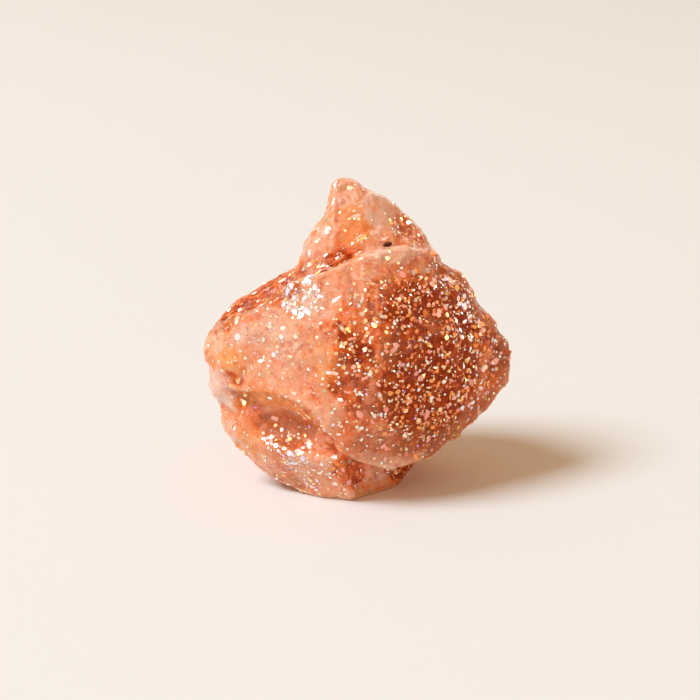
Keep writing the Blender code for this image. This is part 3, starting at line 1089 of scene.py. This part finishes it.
@dataclass
class Glitter:
    """The platelets that lie in the skin, each a thin closed polygon, joined by tint."""

    skin: Skin
    thickness: float = 0.42
    tilt_degrees: float = 10.0
    most_tilt_degrees: float = 22.0
    proud: float = 0.022
    drawn_out: float = 2.4
    narrowed: float = 0.35
    size_draw: tuple[float, float] = (1.1, 2.4)
    shapes: int = 16
    fewest_sides: int = 4
    side_counts: int = 4
    narrowest: float = 0.45
    corner_reach: tuple[float, float] = (0.7, 1.2)
    finishes: tuple[PlateFinish, ...] = PLATE_FINISHES

    def build(self) -> list[bpy.types.Object]:
        """Scatter each tint of platelet over the skin.

        Returns:
            One piece for each tint.
        """
        draws = np.random.default_rng(SEED)
        sides = [self.fewest_sides + index % self.side_counts for index in range(self.shapes)]
        plates = [self.plate(count, draws) for count in sides]
        pieces = []
        for finish in self.finishes:
            piece = self.scatter(finish, plates, draws)
            piece.data.materials.append(finish.material())
            LOG.info("%s: %d faces", piece.name, len(piece.data.polygons))
            pieces.append(piece)
        return pieces

    def plate(self, sides: int, draws: np.random.Generator) -> tuple[np.ndarray, np.ndarray]:
        """One platelet of radius 1, lying flat, with uneven corners.

        Args:
            sides: how many sides it has.
            draws: where its unevenness comes from.

        Returns:
            Its corners, one a row, and the three corners of each of its triangles.
        """
        bm = bmesh.new()
        bmesh.ops.create_circle(bm, cap_ends=True, segments=sides, radius=1.0)
        narrow = draws.uniform(self.narrowest, 1.0)
        for vertex in bm.verts:
            vertex.co *= draws.uniform(*self.corner_reach)
            vertex.co.x *= narrow
        raised = bmesh.ops.extrude_face_region(bm, geom=bm.faces[:])
        top = [part for part in raised["geom"] if isinstance(part, bmesh.types.BMVert)]
        bmesh.ops.translate(bm, vec=(0.0, 0.0, self.thickness), verts=top)
        bmesh.ops.recalc_face_normals(bm, faces=bm.faces)
        bmesh.ops.triangulate(bm, faces=bm.faces)
        bm.verts.index_update()
        corners = np.array([vertex.co for vertex in bm.verts])
        faces = np.array([[vertex.index for vertex in face.verts] for face in bm.faces])
        bm.free()
        return corners, faces

    def seats(
        self, finish: PlateFinish, draws: np.random.Generator
    ) -> tuple[np.ndarray, np.ndarray, np.ndarray]:
        """Where the platelets of a tint lie.

        Args:
            finish: the tint.
            draws: where the chance comes from.

        Returns:
            Their places and the skin's outward directions there, one a row, and how streaky it is.
        """
        mesh = self.skin.piece.data
        mesh.calc_loop_triangles()
        corners = np.zeros(len(mesh.loop_triangles) * 3, np.int64)
        mesh.loop_triangles.foreach_get("vertices", corners)
        corners = corners.reshape(-1, 3)
        points, out = self.skin.points(), self.skin.normals()
        first, second, third = (points[corners[:, index]] for index in range(3))
        area = np.linalg.norm(np.cross(second - first, third - first), axis=1) / 2.0
        density = finish.density(self.skin.makeup)[corners].mean(axis=1)
        density *= self.skin.above_sole(first)
        expected = area * density
        count = int(expected.sum())
        chosen = draws.choice(len(corners), count, p=expected / expected.sum())
        shares = draws.dirichlet((1.0, 1.0, 1.0), count)
        places = np.einsum("ns,nsk->nk", shares, points[corners[chosen]])
        ways = np.einsum("ns,nsk->nk", shares, out[corners[chosen]])
        grain = self.skin.makeup[Makeup.GRAIN][corners[chosen]].mean(axis=1)
        return places, ways / np.linalg.norm(ways, axis=1)[:, None], grain

    def scatter(
        self,
        finish: PlateFinish,
        plates: Sequence[tuple[np.ndarray, np.ndarray]],
        draws: np.random.Generator,
    ) -> bpy.types.Object:
        """Lay platelets of one tint in the skin and join them.

        Args:
            finish: the tint.
            plates: the shapes to pick from.
            draws: where the chance comes from.

        Returns:
            The joined piece.
        """
        places, ways, grains = self.seats(finish, draws)
        along = np.array(self.skin.grain_way) / np.linalg.norm(self.skin.grain_way)
        corner_rows, face_rows, tones, used = [], [], [], 0
        for place, way, grain in zip(places, ways, grains):
            corners, faces = plates[draws.integers(len(plates))]
            small, large = finish.radius
            radius = small + (large - small) * draws.beta(*self.size_draw)
            tilt = min(abs(draws.normal(0.0, self.tilt_degrees)), self.most_tilt_degrees)
            turn = self.lie(Vector(way), math.radians(tilt), draws)
            proud = self.proud + radius * math.sin(math.radians(tilt)) / 2.0
            sunk = place + way * (proud - self.thickness * radius)
            rows = corners @ turn.T * radius * (1.0 - self.narrowed * grain)
            rows += np.outer(rows @ along, along) * self.drawn_out * grain
            corner_rows.append(rows + sunk)
            face_rows.append(faces + used)
            tones.append(np.full(len(corners), draws.random()))
            used += len(corners)
        corner_rows = np.vstack(corner_rows)
        corner_rows[:, 2] = np.maximum(corner_rows[:, 2], 0.0)
        mesh = bpy.data.meshes.new(f"platelets_{finish.name}")
        mesh.from_pydata((corner_rows * MM).tolist(), [], np.vstack(face_rows).tolist())
        tone = mesh.attributes.new("tone", "FLOAT", "POINT")
        tone.data.foreach_set("value", np.concatenate(tones).astype(np.float32))
        return attached(mesh.name, mesh)

    def lie(self, way: Vector, tilt: float, draws: np.random.Generator) -> np.ndarray:
        """The turn that lays a platelet on the skin.

        Args:
            way: the skin's outward direction.
            tilt: how far the platelet leans from it, in radians.
            draws: where the spin and the lean's direction come from.

        Returns:
            A 3 by 3 matrix.
        """
        spin = Matrix.Rotation(draws.uniform(0.0, math.tau), 3, "Z")
        lean = Matrix.Rotation(tilt, 3, "X")
        swing = Matrix.Rotation(draws.uniform(0.0, math.tau), 3, "Z")
        return np.array(way.to_track_quat("Z", "Y").to_matrix() @ swing @ lean @ spin)


@dataclass
class DarkCrystal:
    """A dark lozenge-shaped crystal, half sunk under the peak."""

    name: str = "dark_crystal"
    middle: Point = (2.8, -2.25, 24.3)
    half_sizes: Point = (0.56, 0.24, 0.30)
    turns: Point = (20.0, -12.0, 18.0)
    bevel: float = 0.12
    bevel_steps: int = 2
    bevel_profile: float = 0.5
    finish: DarkFinish = field(default_factory=DarkFinish)

    def build(self) -> bpy.types.Object:
        """Make the crystal: a ball with few faces, bevelled, flattened and turned.

        Returns:
            The finished piece.
        """
        bm = bmesh.new()
        bmesh.ops.create_icosphere(bm, subdivisions=1, radius=1.0)
        bmesh.ops.bevel(
            bm,
            geom=bm.edges[:],
            offset=self.bevel,
            segments=self.bevel_steps,
            profile=self.bevel_profile,
            affect="EDGES",
            material=-1,
        )
        bmesh.ops.scale(bm, vec=Vector(self.half_sizes) * MM, verts=bm.verts)
        for axis, angle in zip("XYZ", self.turns):
            turn = Matrix.Rotation(math.radians(angle), 3, axis)
            bmesh.ops.rotate(bm, matrix=turn, verts=bm.verts)
        bmesh.ops.translate(bm, vec=Vector(self.middle) * MM, verts=bm.verts)
        mesh = bpy.data.meshes.new(self.name)
        bm.to_mesh(mesh)
        bm.free()
        mesh.materials.append(self.finish.material())
        LOG.info("%s: %d faces", self.name, len(mesh.polygons))
        return attached(self.name, mesh)


@dataclass
class Studio:
    """A pale floor, soft light from the upper left, and the camera."""

    look_at: Point = (-0.75, 0.0, 13.1)
    distance: float = 190.9
    elevation: float = 17.0
    lens: float = 100.0
    sensor: float = 36.0
    floor_half_size: float = 1500.0
    floor_colour: Colour = (0.849, 0.849, 0.842)
    floor_roughness: float = 0.9
    floor_specular: float = 0.1
    fibre: Clouds = Clouds(0.9)
    fibre_bumps: Bumps = Bumps(0.05, 0.25)
    key_way: Point = (-0.60, -0.22, 0.77)
    key_distance: float = 2200.0
    key_diameter: float = 900.0
    key_power: float = 45.0
    key_colour: Colour = (0.78, 0.915, 1.0)
    fill_colour: Colour = (1.0, 0.66, 0.39)
    fill_strength: float = 0.545
    pane_count: float = 6.0
    pane_share: float = 0.28
    pane_light: Colour = (3.0, 2.85, 2.6)
    pane_gap: Colour = (0.62, 0.38, 0.25)

    def build(self) -> None:
        """Lay the floor, set the light, hang the panes and place the camera."""
        self.lay_floor()
        self.hang_key()
        self.hang_panes()
        self.place_camera()
        bpy.context.scene.view_settings.view_transform = "Standard"
        LOG.info("studio: floor, key light, fill and camera")

    def lay_floor(self) -> None:
        """A wide sheet of pale paper just under the stone."""
        bm = bmesh.new()
        bmesh.ops.create_grid(bm, x_segments=1, y_segments=1, size=self.floor_half_size * MM)
        mesh = bpy.data.meshes.new("floor")
        bm.to_mesh(mesh)
        bm.free()
        g = Graph(bpy.data.materials.new("pale_paper"))
        g.shade(
            Base_Color=(*self.floor_colour, 1.0),
            Roughness=self.floor_roughness,
            Specular_IOR_Level=self.floor_specular,
            Normal=g.bump(g.noise(self.fibre), self.fibre_bumps),
        )
        mesh.materials.append(g.owner)
        attached("floor", mesh)

    def hang_key(self) -> None:
        """A large round light at the upper left."""
        key = bpy.data.lights.new("key", "AREA")
        key.shape = "DISK"
        key.size = self.key_diameter * MM
        key.energy = self.key_power
        key.color = self.key_colour
        lamp = attached("key", key)
        way = Vector(self.key_way).normalized()
        lamp.location = way * self.key_distance * MM
        lamp.rotation_euler = way.to_track_quat("Z", "Y").to_euler()

    def hang_panes(self) -> None:
        """Fill the world with even light, but let gloss see bright panes all around instead."""
        g = Graph(bpy.data.worlds.new("fill"), "Generated")
        light = {"Color": (*self.fill_colour, 1.0), "Strength": self.fill_strength}
        fill = g.feed(g.tree.nodes["Background"], light)
        cells = g.add("TexVoronoi", {"Vector": g.place, "Scale": self.pane_count})
        lit = g.math("LESS_THAN", g.channels(cells.outputs["Color"])[0], self.pane_share)
        panes = g.add("Background", {"Color": g.blend(lit, self.pane_gap, self.pane_light)})
        gloss = g.add("LightPath").outputs["Is Glossy Ray"]
        seen = g.add("MixShader", {0: gloss, 1: fill.outputs[0], 2: panes.outputs[0]})
        g.feed(g.tree.nodes["World Output"], {"Surface": seen.outputs[0]})
        bpy.context.scene.world = g.owner

    def place_camera(self) -> None:
        """A long lens, a little above the stone."""
        data = bpy.data.cameras.new("camera")
        data.lens = self.lens
        data.sensor_width = self.sensor
        data.clip_start = MM
        camera = attached("camera", data)
        rise = math.radians(self.elevation)
        back = Vector((0.0, -math.cos(rise), math.sin(rise)))
        camera.location = (Vector(self.look_at) + back * self.distance) * MM
        camera.rotation_euler = back.to_track_quat("Z", "Y").to_euler()
        bpy.context.scene.camera = camera


def main() -> None:
    """Build the stone's pieces in order, ride them on the body and set the studio."""
    logging.basicConfig(level=logging.INFO, format="%(message)s")
    skin = Skin()
    stone = skin.build(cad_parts[NODE])
    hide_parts(NODE)
    for piece in [stone, *Glitter(skin).build(), DarkCrystal().build()]:
        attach(piece, BODY)
    Studio().build()


if __name__ == "__main__":
    main()
